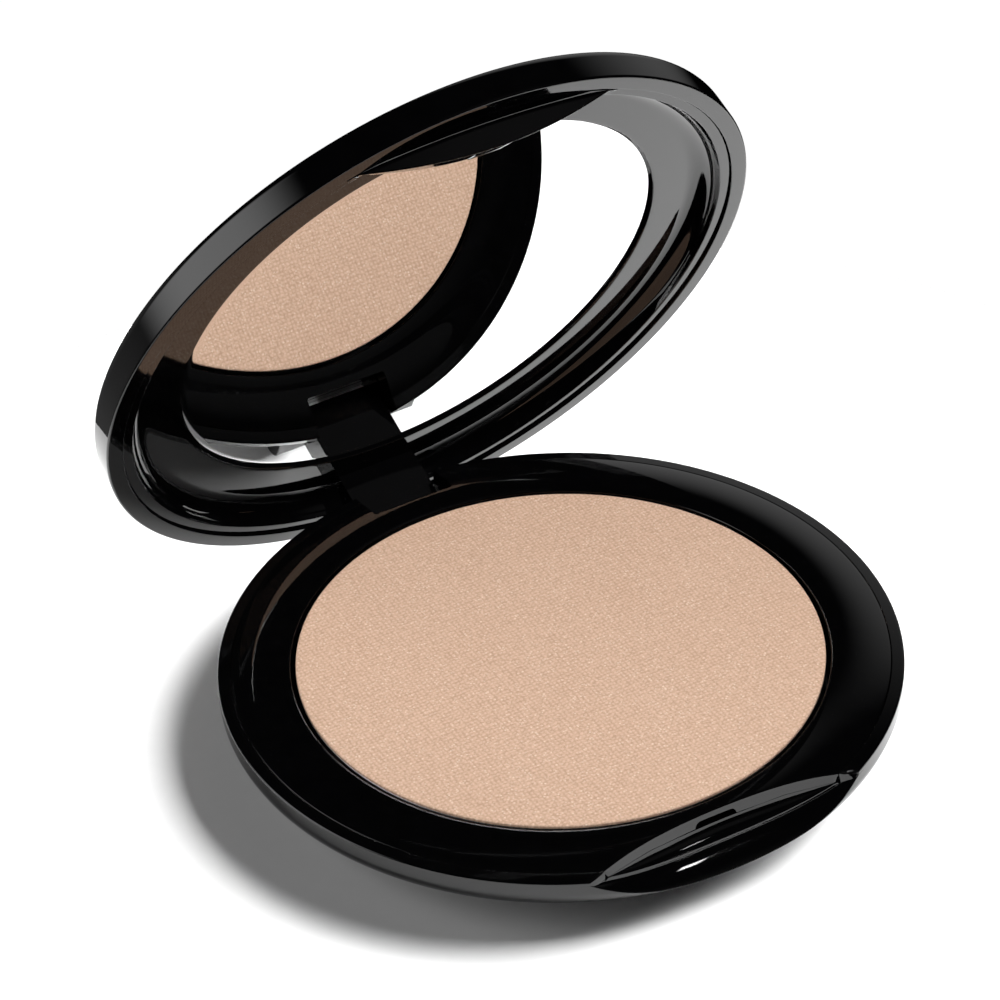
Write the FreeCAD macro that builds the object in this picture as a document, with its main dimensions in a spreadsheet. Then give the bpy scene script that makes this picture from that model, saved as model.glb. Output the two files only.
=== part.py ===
"""A round pressed-powder compact: base, pan and powder, hinge, lid and mirror.

Frame: +Z up, the base rests on Z = 0 and its axis is the Z axis. The hinge runs along X at the
back (+Y) and the thumb notch is at the front (-Y). Lid pieces are drawn closed, in the same
frame, and their Placement turns them about the hinge to the open rest position.
"""

import FreeCAD, Part
import math
import os
import Sketcher

from FreeCAD import Placement, Rotation, Vector

# how a sketch numbers its own origin and the points of a curve
ORIGIN_POINT = -1
START = 1
END = 2
CENTRE = 3

# a half circle's radius is this much over half its width, so that its centre can be found
TINY = 0.001

# cutters reach this far past what they cut, in millimetres
MARGIN = 3.0

# the tab is turned through this many degrees and then trimmed to its width
TAB_SWEEP = 24.0

SIZES = [
    # base, outside
    ("rim_radius", 38.2, "outermost radius of the base"),
    ("rim_height", 8.15, "height of the base's outer edge"),
    ("band_radius", 36.75, "inner radius of the flat band round the rim"),
    ("band_height", 8.3, "height of the band's inner edge"),
    ("edge_round", 0.2, "rounding of the rim's top edge"),
    ("wall_foot", 6.4, "height where the rim wall starts to turn under"),
    ("turn_radius", 2.4, "radius of the turn under the rim"),
    ("belly_radius", 36.4, "radius where the turn meets the domed underside"),
    ("belly_height", 4.25, "height of that circle"),
    ("dome_radius", 85.0, "radius of curvature of the underside"),
    ("foot_radius", 22.0, "outer radius of the flat foot"),
    ("label_radius", 18.0, "radius of the label's recess"),
    ("label_recess", 0.15, "depth of the label's recess, which the label fills"),
    ("label_gap", 0.5, "gap round the label in its recess"),
    # base, inside
    ("shell_floor", 1.6, "top of the base shell's floor"),
    ("cone_foot", 24.0, "radius where the floor starts to rise"),
    ("cone_top", 34.4, "radius where the rising floor meets the wall's foot"),
    ("cone_height", 4.8, "height of that circle"),
    ("ramp_lip", 0.6, "how far the solid under the thumb notch reaches past the notch"),
    ("ledge_height", 6.2, "ledge that the frame sits on"),
    ("ledge_width", 0.85, "width of the ledge"),
    ("well_radius", 30.0, "radius of the pan well"),
    ("well_floor", 5.0, "height of the well's floor"),
    ("well_skin", 1.0, "thickness of the well's floor and wall"),
    ("skirt_width", 1.0, "width of the frame's foot on the ledge"),
    ("crown_round", 0.35, "rounding of the crown's inner edge"),
    ("crown_crest", 32.8, "radius of the crown's highest circle"),
    ("crown_height", 8.82, "height of the crown"),
    ("crown_curve", 15.0, "radius of curvature of the crown"),
    ("crown_inner", 30.3, "radius where the crown starts"),
    # pan and powder
    ("pan_radius", 29.5, "outer radius of the pan"),
    ("pan_wall", 0.3, "thickness of the pan's sheet"),
    ("pan_corner", 1.0, "outer radius of the pan's bottom corner"),
    ("pan_rim", 8.2, "height of the pan's rim"),
    ("glue_radius", 20.0, "radius of the glue disc"),
    ("glue_thick", 0.2, "thickness of the glue disc"),
    ("powder_top", 8.6, "height of the powder's face"),
    ("powder_round", 0.35, "rounding of the powder's edge"),
    # thumb notch
    ("notch_back", 31.95, "distance of the notch's back wall at the middle"),
    ("notch_bow", 64.0, "radius of curvature of the back wall in plan"),
    ("notch_floor", 6.2, "height of the notch's floor"),
    ("notch_ridge", 33.8, "distance of the ridge between floor and bevel"),
    ("bevel_out", 37.6, "distance of the bevel's lower edge"),
    ("bevel_low", 4.3, "height of the bevel's lower edge"),
    ("bevel_slope", 0.8, "steepness of the bevel past its lower edge"),
    ("bevel_curve", 9.0, "radius of curvature of the bevel"),
    ("notch_half", 17.0, "half the notch's width at the rim"),
    ("slot_width", 5.0, "width of the catch slot"),
    ("slot_height", 1.3, "height of the catch slot"),
    ("slot_middle", 7.35, "height of the catch slot's middle"),
    ("slot_depth", 1.0, "depth of the catch slot"),
    # hinge
    ("hinge_y", 35.47, "hinge axis, distance behind the centre"),
    ("hinge_z", 3.22, "hinge axis, height"),
    ("pin_radius", 0.8, "radius of the hinge pin"),
    ("pin_play", 0.05, "running clearance of the pin in the lid's arm"),
    ("block_half", 9.2, "half the width of the hinge block"),
    ("block_round", 2.2, "outer radius of the ears round the pin"),
    ("block_front", 31.2, "front of the hinge block"),
    ("block_chamfer", 1.6, "chamfer of the block's lower front edge"),
    ("block_back", 36.8, "back of the block at its top"),
    ("block_top", 5.6, "top of the hinge block inside the shell"),
    ("pocket_half", 5.2, "half the width of the hinge pocket"),
    ("pocket_front", 33.0, "front wall of the hinge pocket"),
    ("arm_half", 4.7, "half the width of the lid's arm"),
    ("arm_back", 37.5, "distance of the arm's back face"),
    ("arm_under", 0.4, "how far the arm's top lies under the frame's back"),
    ("barrel_radius", 2.0, "outer radius of the arm's barrel"),
    ("heel_wide", 1.2, "how far the stop heel's sides lie beside its tip"),
    ("heel_rise", 1.0, "how far the stop heel's sides lie above its tip"),
    ("heel_radius", 2.7, "reach of the stop heel from the pin's axis"),
    # lid
    ("lid_edge", 8.4, "height of the lid's flat edge when it is closed"),
    ("lid_radius", 40.3, "outermost radius of the lid"),
    ("lid_bore", 38.3, "inner radius of the flat edge"),
    ("lid_round", 0.25, "rounding of the flat edge's outer side"),
    ("side_height", 3.1, "height of the lid's side wall"),
    ("side_taper", 0.12, "how far the side wall leans in"),
    ("shoulder_radius", 39.3, "radius where the lid's shoulder meets its dome"),
    ("shoulder_height", 4.3, "height of that circle above the edge"),
    ("shoulder_round", 1.3, "radius of the shoulder"),
    ("lid_height", 9.3, "height of the dome above the edge"),
    ("lid_skin", 1.2, "thickness of the dome"),
    ("bore_height", 2.3, "height of the bore above the edge"),
    ("lid_corner", 1.4, "how far the slope between bore and dome reaches in"),
    ("hub_radius", 0.5, "radius of the tiny flat at the middle of the dome"),
    # mirror and its frame
    ("mirror_radius", 29.5, "radius of the mirror"),
    ("mirror_face", 3.4, "mirror's face above the edge"),
    ("mirror_thick", 0.9, "thickness of the mirror"),
    ("mirror_bevel", 0.35, "bevel of the mirror's edge"),
    ("pad_radius", 26.0, "radius of the adhesive pad"),
    ("pad_thick", 0.15, "thickness of the adhesive pad"),
    ("bezel_bore", 29.85, "inner radius of the bezel"),
    ("bezel_face", 3.1, "bezel's flat face above the edge"),
    ("bezel_flat", 34.4, "outer radius of the bezel's flat face"),
    ("bezel_step", 0.35, "height of the frame's outer step above the edge"),
    ("cove_outer", 36.95, "radius where the cove meets the frame's outer step"),
    ("frame_slope", 36.9, "radius where the slope at the frame's back ends"),
    ("slope_height", 3.25, "height of that circle above the edge"),
    ("frame_radius", 38.2, "outer radius of the mirror frame"),
    ("frame_back", 4.0, "back of the frame's flange above the edge"),
    ("cup_wall", 0.8, "wall of the cup that holds the mirror"),
    ("cup_floor", 0.5, "floor of the cup that holds the mirror"),
    # thumb tab
    ("tab_half", 15.2, "half the width of the thumb tab"),
    ("tab_margin", 1.0, "how far the flat round the tab reaches past its tips"),
    ("tab_root", 36.5, "distance of the tab's outer face at the edge"),
    ("tab_bow", 81.0, "radius of curvature of the tab's outer face in plan"),
    ("tab_toe", 35.6, "distance of the tab's outer face at its lower edge"),
    ("tab_depth", 2.6, "depth of the tab below the edge"),
    ("tab_gap", 0.3, "gap between the tab and the notch's back wall"),
    ("tab_heel", 0.9, "depth of the tab at its inner face"),
    ("nib_width", 4.4, "width of the catch nib"),
    ("nib_height", 0.4, "height of the catch nib"),
    ("nib_root", 0.6, "how deep the catch nib is rooted in the tab"),
    ("nib_reach", 0.15, "how far the catch nib stands out of the tab"),
    # shared
    ("seam", 0.05, "gap between two mouldings that are pressed together"),
    # rest position
    ("open_angle", 67.0, "angle of the open lid from closed, in degrees"),
    ("stop_angle", 72.0, "angle of the open lid on its stop, in degrees"),
]


class Size:
    """A length in millimetres together with the formula that the document keeps for it."""

    def __init__(self, value, formula):
        self.value = value
        self.formula = formula

    def combined(self, sign, other, swap=False):
        other = other if isinstance(other, Size) else Size(float(other), repr(float(other)))
        first, second = (other, self) if swap else (self, other)
        results = {
            "+": lambda: first.value + second.value,
            "-": lambda: first.value - second.value,
            "*": lambda: first.value * second.value,
            "/": lambda: first.value / second.value,
        }
        return Size(results[sign](), f"({first.formula} {sign} {second.formula})")

    def __add__(self, other):
        return self.combined("+", other)

    def __sub__(self, other):
        return self.combined("-", other)

    def __rsub__(self, other):
        return self.combined("-", other, swap=True)

    def __mul__(self, other):
        return self.combined("*", other)

    def __truediv__(self, other):
        return self.combined("/", other)

    def __neg__(self):
        return Size(0.0, "0.0") - self

    def root(self):
        return Size(math.sqrt(self.value), f"sqrt({self.formula})")


class Sheet:
    """The driving dimensions: a spreadsheet whose cells are read as attributes."""

    def __init__(self, doc, rows):
        self.cells = doc.addObject("Spreadsheet::Sheet", "Sizes")
        for number, (alias, value, note) in enumerate(rows, start=1):
            self.cells.set(f"A{number}", alias)
            self.cells.set(f"B{number}", str(value))
            self.cells.set(f"C{number}", note)
            self.cells.setAlias(f"B{number}", alias)
            setattr(self, alias, Size(value, f"Sizes.{alias}"))


NOTHING = Size(0.0, "0.0")


def circle_y(radius, x):
    """How far a circle round the origin is from the X axis at x."""
    return (radius * radius - x * x).root()


def new_body(doc, label):
    body = doc.addObject("PartDesign::Body", label)
    body.Label = label
    return body


def new_sketch(body, name, plane):
    sketch = body.newObject("Sketcher::SketchObject", name)
    base = next(part for part in body.Origin.OriginFeatures if part.Role == plane)
    sketch.AttachmentSupport = [(base, "")]
    sketch.MapMode = "FlatFace"
    return sketch


def pin_to_size(sketch, kind, geometry, point, size):
    """Holds one coordinate of a point at a size, measured from the sketch's origin."""
    if size.value >= 0:
        number = sketch.addConstraint(
            Sketcher.Constraint(kind, ORIGIN_POINT, START, geometry, point, size.value)
        )
        formula = size.formula
    else:
        number = sketch.addConstraint(
            Sketcher.Constraint(kind, geometry, point, ORIGIN_POINT, START, -size.value)
        )
        formula = f"-({size.formula})"
    sketch.setExpression(f"Constraints[{number}]", formula)


def arc_through(start, end, radius, bulges_left):
    """A circular arc between two points that bulges to the left or the right of the line from
    start to end. A sketch's arcs run anticlockwise, so one that bulges left starts at end."""
    if bulges_left:
        start, end = end, start
    chord = end - start
    left = Vector(-chord.y, chord.x, 0).normalize()
    centre = (start + end) * 0.5 + left * math.sqrt(radius**2 - (chord.Length / 2) ** 2)
    first = math.atan2(start.y - centre.y, start.x - centre.x)
    last = math.atan2(end.y - centre.y, end.x - centre.x)
    if last < first:
        last += 2 * math.pi
    return Part.ArcOfCircle(Part.Circle(centre, Vector(0, 0, 1), radius), first, last)


def draw_outline(sketch, corners, arcs=None):
    """Draws a closed outline. arcs gives, by the number of the corner where it starts, the
    radius of a curved stretch and whether it bulges to the left of its way."""
    arcs = arcs or {}
    points = [Vector(x.value, y.value, 0) for x, y in corners]
    ends = []
    for number, start in enumerate(points):
        end = points[(number + 1) % len(points)]
        if number in arcs:
            radius, bulges_left = arcs[number]
            curve = arc_through(start, end, radius.value, bulges_left)
            geometry = sketch.addGeometry(curve, False)
            ends.append((geometry, END, START) if bulges_left else (geometry, START, END))
        else:
            geometry = sketch.addGeometry(Part.LineSegment(start, end), False)
            ends.append((geometry, START, END))
    for number, (geometry, first, last) in enumerate(ends):
        following, joined, _ = ends[(number + 1) % len(ends)]
        sketch.addConstraint(Sketcher.Constraint("Coincident", geometry, last, following, joined))
        x, y = corners[number]
        pin_to_size(sketch, "DistanceX", geometry, first, x)
        pin_to_size(sketch, "DistanceY", geometry, first, y)
        if number in arcs:
            radius = arcs[number][0]
            held = sketch.addConstraint(Sketcher.Constraint("Radius", geometry, radius.value))
            sketch.setExpression(f"Constraints[{held}]", radius.formula)


def draw_circle(sketch, x, y, radius):
    circle = Part.Circle(Vector(x.value, y.value, 0), Vector(0, 0, 1), radius.value)
    geometry = sketch.addGeometry(circle, False)
    pin_to_size(sketch, "DistanceX", geometry, CENTRE, x)
    pin_to_size(sketch, "DistanceY", geometry, CENTRE, y)
    held = sketch.addConstraint(Sketcher.Constraint("Radius", geometry, radius.value))
    sketch.setExpression(f"Constraints[{held}]", radius.formula)


def revolve(body, name, corners, arcs=None):
    """Turns an outline in the XZ plane about the Z axis."""
    sketch = new_sketch(body, name + "_outline", "XZ_Plane")
    draw_outline(sketch, corners, arcs)
    turned = body.newObject("PartDesign::Revolution", name)
    turned.Profile = sketch
    turned.ReferenceAxis = (sketch, ["V_Axis"])
    turned.Angle = 360.0
    return turned


def extrude(body, name, kind, plane, draw, length, both_ways=False, backwards=False):
    """Pads or pockets what draw(sketch) draws in a plane of the body."""
    sketch = new_sketch(body, name + "_outline", plane)
    draw(sketch)
    feature = body.newObject("PartDesign::" + kind, name)
    feature.Profile = sketch
    feature.setExpression("Length", length.formula)
    feature.Length = length.value
    feature.SideType = "Symmetric" if both_ways else "One side"
    feature.Reversed = backwards
    return feature


def raise_sketch(feature, height):
    """Moves a feature's sketch off its plane, along the plane's normal."""
    sketch = feature.Profile[0]
    sketch.AttachmentOffset = Placement(Vector(0, 0, height.value), Rotation())
    sketch.setExpression("AttachmentOffset.Base.z", height.formula)


def loose_extrusion(doc, name, plane, corners, arcs, start, length):
    """An extrusion outside any body, for a cutter: in the XY plane upwards from start, or in
    the YZ plane along X from start."""
    body = new_body(doc, name)
    pad = extrude(body, name + "_pad", "Pad", plane,
                  lambda sketch: draw_outline(sketch, corners, arcs), length)
    raise_sketch(pad, start)
    return body


def cut(doc, label, base, tools):
    """base less each of the tools, in one object with the given label."""
    body_part = base
    for number, tool in enumerate(tools):
        result = doc.addObject("Part::Cut", f"{label}_cut_{number}")
        result.Base = body_part
        result.Tool = tool
        body_part = result
    body_part.Label = label
    return body_part


def notch_cutter(doc, s):
    """The space of the thumb notch: a slice outside the bowed back wall, above the floor and
    the bevel that slopes down to the rim."""
    far = s.lid_radius + MARGIN
    high = s.crown_height + MARGIN
    half = s.notch_half + MARGIN
    wall_end = notch_wall_y(s, half)
    plan = loose_extrusion(
        doc, "notch_plan", "XY_Plane",
        [(-half, -far), (half, -far), (half, -wall_end), (-half, -wall_end)],
        {2: (s.notch_bow, False)}, NOTHING, high,
    )
    section = loose_extrusion(
        doc, "notch_section", "YZ_Plane",
        [
            (-s.notch_back + MARGIN, s.notch_floor),
            (-s.notch_back + MARGIN, high),
            (-far, high),
            (-far, s.bevel_low - (far - s.bevel_out) * s.bevel_slope),
            (-s.bevel_out, s.bevel_low),
            (-s.notch_ridge, s.notch_floor),
        ],
        {4: (s.bevel_curve, True)}, -half, half * 2,
    )
    both = doc.addObject("Part::MultiCommon", "notch_space")
    both.Shapes = [plan, section]
    return both, plan


def notch_wall_y(s, x):
    """Distance of the notch's back wall from the X axis at x."""
    return s.notch_back + s.notch_bow - circle_y(s.notch_bow, x)


def make_base_shell(doc, s, notch):
    """The outer moulding: foot, domed underside, wall, rim band, hinge block and ramp."""
    body = new_body(doc, "base_shell_body")
    inner_wall = s.band_radius - s.ledge_width
    ramp_inner = s.notch_back - s.ramp_lip
    ramp_half = s.notch_half + s.ramp_lip
    ramp_outer = inner_wall + s.seam
    ramp_low = s.belly_height
    revolve(body, "shell", [
        (NOTHING, s.label_recess),
        (s.label_radius, s.label_recess),
        (s.label_radius, NOTHING),
        (s.foot_radius, NOTHING),
        (s.belly_radius, s.belly_height),
        (s.rim_radius, s.wall_foot),
        (s.rim_radius, s.rim_height - s.edge_round),
        (s.rim_radius - s.edge_round, s.rim_height),
        (s.band_radius, s.band_height),
        (s.band_radius, s.ledge_height),
        (inner_wall, s.ledge_height),
        (s.cone_top, s.cone_height),
        (s.cone_foot, s.shell_floor),
        (NOTHING, s.shell_floor),
    ], {
        3: (s.dome_radius, False),
        4: (s.turn_radius, False),
        6: (s.edge_round, False),
    })

    def ramp(sketch):
        side = circle_y(ramp_outer, ramp_half)
        draw_outline(sketch, [
            (-ramp_half, -side), (ramp_half, -side),
            (ramp_half, -ramp_inner), (-ramp_half, -ramp_inner),
        ], {0: (ramp_outer, False)})

    pad = extrude(body, "ramp", "Pad", "XY_Plane", ramp, s.notch_floor - ramp_low)
    raise_sketch(pad, ramp_low)

    def block(sketch):
        back = s.hinge_y + s.block_round
        bottom = s.hinge_z - s.block_round
        draw_outline(sketch, [
            (s.block_front, s.block_top),
            (s.block_front, bottom + s.block_chamfer),
            (s.block_front + s.block_chamfer, bottom),
            (s.hinge_y, bottom),
            (back, s.hinge_z),
            (s.block_back, s.block_top),
        ], {3: (s.block_round, False)})

    extrude(body, "hinge_block", "Pad", "YZ_Plane", block, s.block_half * 2, both_ways=True)
    hinge_pocket(body, s)
    extrude(
        body, "pin_holes", "Pocket", "YZ_Plane",
        lambda sketch: draw_circle(sketch, s.hinge_y, s.hinge_z, s.pin_radius),
        s.block_half * 2 + MARGIN, both_ways=True,
    )
    return cut(doc, "base_shell", body, [notch])


def hinge_pocket(body, s):
    """The slot at the back that the lid's arm swings in."""
    back = s.rim_radius + MARGIN

    def slot(sketch):
        draw_outline(sketch, [
            (-s.pocket_half, s.pocket_front), (s.pocket_half, s.pocket_front),
            (s.pocket_half, back), (-s.pocket_half, back),
        ])

    extrude(body, "hinge_pocket", "Pocket", "XY_Plane", slot, s.crown_height + MARGIN, backwards=True)


def make_base_frame(doc, s, notch_plan, slot):
    """The inner moulding: pan well, crown round the powder and the skirt on the ledge."""
    body = new_body(doc, "base_frame_body")
    outer = s.band_radius - s.seam
    skirt_inner = outer - s.skirt_width
    cup_outer = s.well_radius + s.well_skin
    flange_under = s.ledge_height + s.seam * 2
    crown_drop = s.crown_curve - circle_y(s.crown_curve, s.crown_crest - s.crown_inner)
    revolve(body, "frame", [
        (NOTHING, s.well_floor - s.well_skin),
        (cup_outer, s.well_floor - s.well_skin),
        (cup_outer, flange_under),
        (skirt_inner, flange_under),
        (skirt_inner, s.ledge_height),
        (outer, s.ledge_height),
        (outer, s.band_height),
        (s.crown_crest, s.crown_height),
        (s.crown_inner, s.crown_height - crown_drop),
        (s.well_radius, s.crown_height - crown_drop - (s.crown_inner - s.well_radius)),
        (s.well_radius, s.well_floor),
        (NOTHING, s.well_floor),
    ], {
        6: (s.crown_curve, False),
        7: (s.crown_curve, False),
        8: (s.crown_round, False),
    })
    hinge_pocket(body, s)
    return cut(doc, "base_frame", body, [notch_plan, slot])


def catch_slot_cutter(doc, s):
    """A slot with round ends in the notch's back wall, for the lid's catch nib."""
    body = new_body(doc, "catch_slot")
    half = s.slot_width / 2 - s.slot_height / 2
    low = s.slot_middle - s.slot_height / 2
    high = s.slot_middle + s.slot_height / 2

    def stadium(sketch):
        end = s.slot_height / 2 + TINY
        draw_outline(sketch, [(-half, low), (half, low), (half, high), (-half, high)],
                     {1: (end, False), 3: (end, False)})

    # the XZ plane faces -Y, so the slot is drawn on it and pushed forwards
    pad = extrude(body, "slot_pad", "Pad", "XZ_Plane", stadium, s.slot_depth + MARGIN)
    raise_sketch(pad, s.notch_back - s.slot_depth)
    return body


def make_disc(doc, label, radius, low, thick):
    body = new_body(doc, label)
    pad = extrude(body, label + "_pad", "Pad", "XY_Plane",
                  lambda sketch: draw_circle(sketch, NOTHING, NOTHING, radius), thick)
    raise_sketch(pad, low)
    return body


def make_powder_pan(doc, s):
    """A pressed aluminium cup with a rounded bottom corner."""
    body = new_body(doc, "powder_pan")
    low = s.well_floor + s.glue_thick
    corner = s.pan_corner
    inner = s.pan_radius - s.pan_wall
    revolve(body, "pan", [
        (NOTHING, low),
        (s.pan_radius - corner, low),
        (s.pan_radius, low + corner),
        (s.pan_radius, s.pan_rim),
        (inner, s.pan_rim),
        (inner, low + corner),
        (s.pan_radius - corner, low + s.pan_wall),
        (NOTHING, low + s.pan_wall),
    ], {
        1: (corner, False),
        5: (corner - s.pan_wall, True),
    })
    return body


def make_powder_cake(doc, s):
    """The pressed powder: it fills the pan and stands over its rim with a soft edge."""
    body = new_body(doc, "powder_cake")
    low = s.well_floor + s.glue_thick + s.pan_wall
    corner = s.pan_corner - s.pan_wall
    inner = s.pan_radius - s.pan_wall
    revolve(body, "cake", [
        (NOTHING, low),
        (inner - corner, low),
        (inner, low + corner),
        (inner, s.pan_rim),
        (s.pan_radius, s.pan_rim),
        (s.pan_radius, s.powder_top - s.powder_round),
        (s.pan_radius - s.powder_round, s.powder_top),
        (NOTHING, s.powder_top),
    ], {
        1: (corner, False),
        5: (s.powder_round, False),
    })
    return body


def make_hinge_pin(doc, s):
    body = new_body(doc, "hinge_pin")
    extrude(body, "pin", "Pad", "YZ_Plane",
            lambda sketch: draw_circle(sketch, s.hinge_y, s.hinge_z, s.pin_radius),
            s.block_half * 2, both_ways=True)
    return body


def make_lid_shell(doc, s):
    """The outer moulding of the lid: flat edge, side wall, shoulder and shallow dome."""
    body = new_body(doc, "lid_shell")
    edge = s.lid_edge
    side_top = s.lid_radius - s.side_taper
    dome_rise = s.lid_height - s.shoulder_height
    dome_curve = (s.shoulder_radius * s.shoulder_radius + dome_rise * dome_rise) / (dome_rise * 2)
    inner_reach = s.lid_bore - s.lid_corner
    inner_low = edge + s.lid_height - s.lid_skin - (dome_curve - circle_y(dome_curve, inner_reach))
    top = edge + s.lid_height - TINY
    revolve(body, "lid", [
        (s.lid_bore, edge),
        (s.lid_radius - s.lid_round, edge),
        (s.lid_radius, edge + s.lid_round),
        (side_top, edge + s.side_height),
        (s.shoulder_radius, edge + s.shoulder_height),
        (s.hub_radius, top),
        (NOTHING, top),
        (NOTHING, top - s.lid_skin),
        (s.hub_radius, top - s.lid_skin),
        (inner_reach, inner_low),
        (s.lid_bore, edge + s.bore_height),
    ], {
        1: (s.lid_round, False),
        3: (s.shoulder_round, False),
        4: (dome_curve, False),
        8: (dome_curve, True),
    })
    return body


def make_mirror_frame(doc, s):
    """The inner moulding of the lid: the cup for the mirror, the bezel, the thumb tab with its
    catch nib, and the hinge arm."""
    body = new_body(doc, "mirror_frame")
    edge = s.lid_edge
    cup_top = edge + s.mirror_face + s.mirror_thick + s.pad_thick
    cup_outer = s.bezel_bore + s.cup_wall
    cove = s.bezel_face - s.bezel_step
    revolve(body, "bezel", [
        (NOTHING, cup_top),
        (s.bezel_bore, cup_top),
        (s.bezel_bore, edge + s.bezel_face),
        (s.bezel_flat, edge + s.bezel_face),
        (s.cove_outer, edge + s.bezel_step),
        (s.frame_radius, edge + s.bezel_step),
        (s.frame_radius, edge + s.bore_height),
        (s.frame_slope, edge + s.slope_height),
        (s.bezel_flat, edge + s.frame_back),
        (cup_outer, edge + s.frame_back),
        (cup_outer, cup_top + s.cup_floor),
        (NOTHING, cup_top + s.cup_floor),
    ], {3: (cove, True)})
    add_tab(body, s)
    add_arm(body, s)
    return body


def add_tab(body, s):
    """The thumb tab: a flat flush with the lid's edge and, below it, a crescent that drops into
    the notch of the base."""
    edge = s.lid_edge
    wall = s.notch_back + s.tab_gap

    def flat(outer, half):
        def draw(sketch):
            end = circle_y(outer, half)
            inner = wall + s.notch_bow - circle_y(s.notch_bow, half)
            draw_outline(sketch, [
                (-half, -end), (half, -end), (half, -inner), (-half, -inner),
            ], {0: (outer, False), 2: (s.notch_bow, False)})
        return draw

    # the flat's solid fills the lid's edge and, further in, reaches back to the bezel
    edge_part = extrude(body, "tab_flat", "Pad", "XY_Plane",
                        flat(s.frame_radius, s.tab_half + s.tab_margin), s.bore_height - s.seam)
    raise_sketch(edge_part, edge)
    root_part = extrude(body, "tab_root", "Pad", "XY_Plane",
                        flat(s.frame_slope, s.tab_half - s.tab_margin), s.slope_height)
    raise_sketch(root_part, edge)

    # the tab is turned about the centre of its bowed outer face, behind the lid's middle
    centre = s.tab_bow - s.tab_root
    sketch = new_sketch(body, "tab_outline", "YZ_Plane")
    sketch.AttachmentOffset = Placement(Vector(centre.value, 0, 0), Rotation())
    sketch.setExpression("AttachmentOffset.Base.x", centre.formula)
    draw_outline(sketch, [
        (-s.tab_bow, edge),
        (-centre - s.tab_toe, edge - s.tab_depth),
        (-centre - wall, edge - s.tab_heel),
        (-centre - wall, edge),
    ])
    tab = body.newObject("PartDesign::Revolution", "tab")
    tab.Profile = sketch
    tab.ReferenceAxis = (sketch, ["V_Axis"])
    tab.Angle = TAB_SWEEP
    tab.Midplane = True

    def outside(sketch):
        """What the tab's ends and its bowed inner face leave off, as a frame round the tab."""
        tip = s.tab_half
        inner_tip = wall + s.notch_bow - circle_y(s.notch_bow, tip)
        far = s.tab_half + MARGIN
        draw_outline(sketch, [
            (-far, -s.tab_root - MARGIN), (far, -s.tab_root - MARGIN),
            (far, -wall + MARGIN), (-far, -wall + MARGIN),
        ])
        draw_outline(sketch, [
            (-tip, -s.tab_root - s.tab_gap), (tip, -s.tab_root - s.tab_gap),
            (tip, -inner_tip), (-tip, -inner_tip),
        ], {2: (s.notch_bow, False)})

    extrude(body, "tab_plan", "Pocket", "XY_Plane", outside, edge, backwards=True)

    def below(sketch):
        tip = s.tab_half + s.tab_gap
        curve = (tip * tip + s.tab_depth * s.tab_depth) / (s.tab_depth * 2)
        low = edge - s.tab_depth - MARGIN
        draw_outline(sketch, [(-tip, low), (tip, low), (tip, edge), (-tip, edge)],
                     {2: (curve, True)})

    # the XZ plane faces -Y, and a pocket that runs backwards goes the way the plane faces
    extrude(body, "tab_lower_edge", "Pocket", "XZ_Plane", below, s.tab_root + MARGIN,
            backwards=True)

    def nib(sketch):
        half = s.nib_width / 2
        narrow = half - s.nib_reach
        draw_outline(sketch, [
            (-half, -wall - s.nib_root), (half, -wall - s.nib_root),
            (narrow, -wall + s.nib_reach), (-narrow, -wall + s.nib_reach),
        ])

    catch = extrude(body, "catch_nib", "Pad", "XY_Plane", nib, s.nib_height)
    raise_sketch(catch, edge - s.tab_heel + s.seam)


def add_arm(body, s):
    """The arm from the bezel down to the pin, with a heel that stops the lid when it is open."""
    edge = s.lid_edge
    front = s.hinge_y - s.barrel_radius
    top = edge + s.frame_back - s.arm_under

    def side(sketch):
        draw_outline(sketch, [
            (front, s.hinge_z),
            (s.hinge_y, s.hinge_z - s.barrel_radius),
            (s.hinge_y + s.barrel_radius, s.hinge_z),
            (s.arm_back, edge + s.bezel_step),
            (s.arm_back, edge + s.bore_height),
            (s.bezel_flat, top),
            (front, top),
        ], {0: (s.barrel_radius, False), 1: (s.barrel_radius, False)})

    extrude(body, "arm", "Pad", "YZ_Plane", side, s.arm_half * 2, both_ways=True)

    # the heel meets the pocket's front wall when the lid has opened to its stop
    reach = s.hinge_y.value - s.pocket_front.value
    lean = math.degrees(math.acos(reach / s.heel_radius.value))
    heel_angle = math.radians(180.0 + lean + s.stop_angle.value)
    tip_y = s.hinge_y + s.heel_radius * math.cos(heel_angle)
    tip_z = s.hinge_z + s.heel_radius * math.sin(heel_angle)

    def heel(sketch):
        draw_outline(sketch, [
            (tip_y, tip_z),
            (tip_y + s.heel_wide, tip_z + s.heel_rise),
            (tip_y, tip_z + s.heel_rise * 2),
            (tip_y - s.heel_wide, tip_z + s.heel_rise),
        ])

    extrude(body, "stop_heel", "Pad", "YZ_Plane", heel, s.arm_half * 2, both_ways=True)
    extrude(body, "pin_bore", "Pocket", "YZ_Plane",
            lambda sketch: draw_circle(sketch, s.hinge_y, s.hinge_z, s.pin_radius + s.pin_play),
            s.arm_half * 2 + MARGIN, both_ways=True)


def make_mirror(doc, s):
    """Round mirror glass with a small bevel round its face."""
    body = new_body(doc, "mirror")
    face = s.lid_edge + s.mirror_face
    back = face + s.mirror_thick
    revolve(body, "glass", [
        (NOTHING, face),
        (s.mirror_radius - s.mirror_bevel, face),
        (s.mirror_radius, face + s.mirror_bevel),
        (s.mirror_radius, back),
        (NOTHING, back),
    ])
    return body


def check_document(doc):
    for item in doc.Objects:
        if "Invalid" in item.State or "Error" in item.State:
            raise RuntimeError(f"{item.Label} failed: {item.State}")


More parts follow.
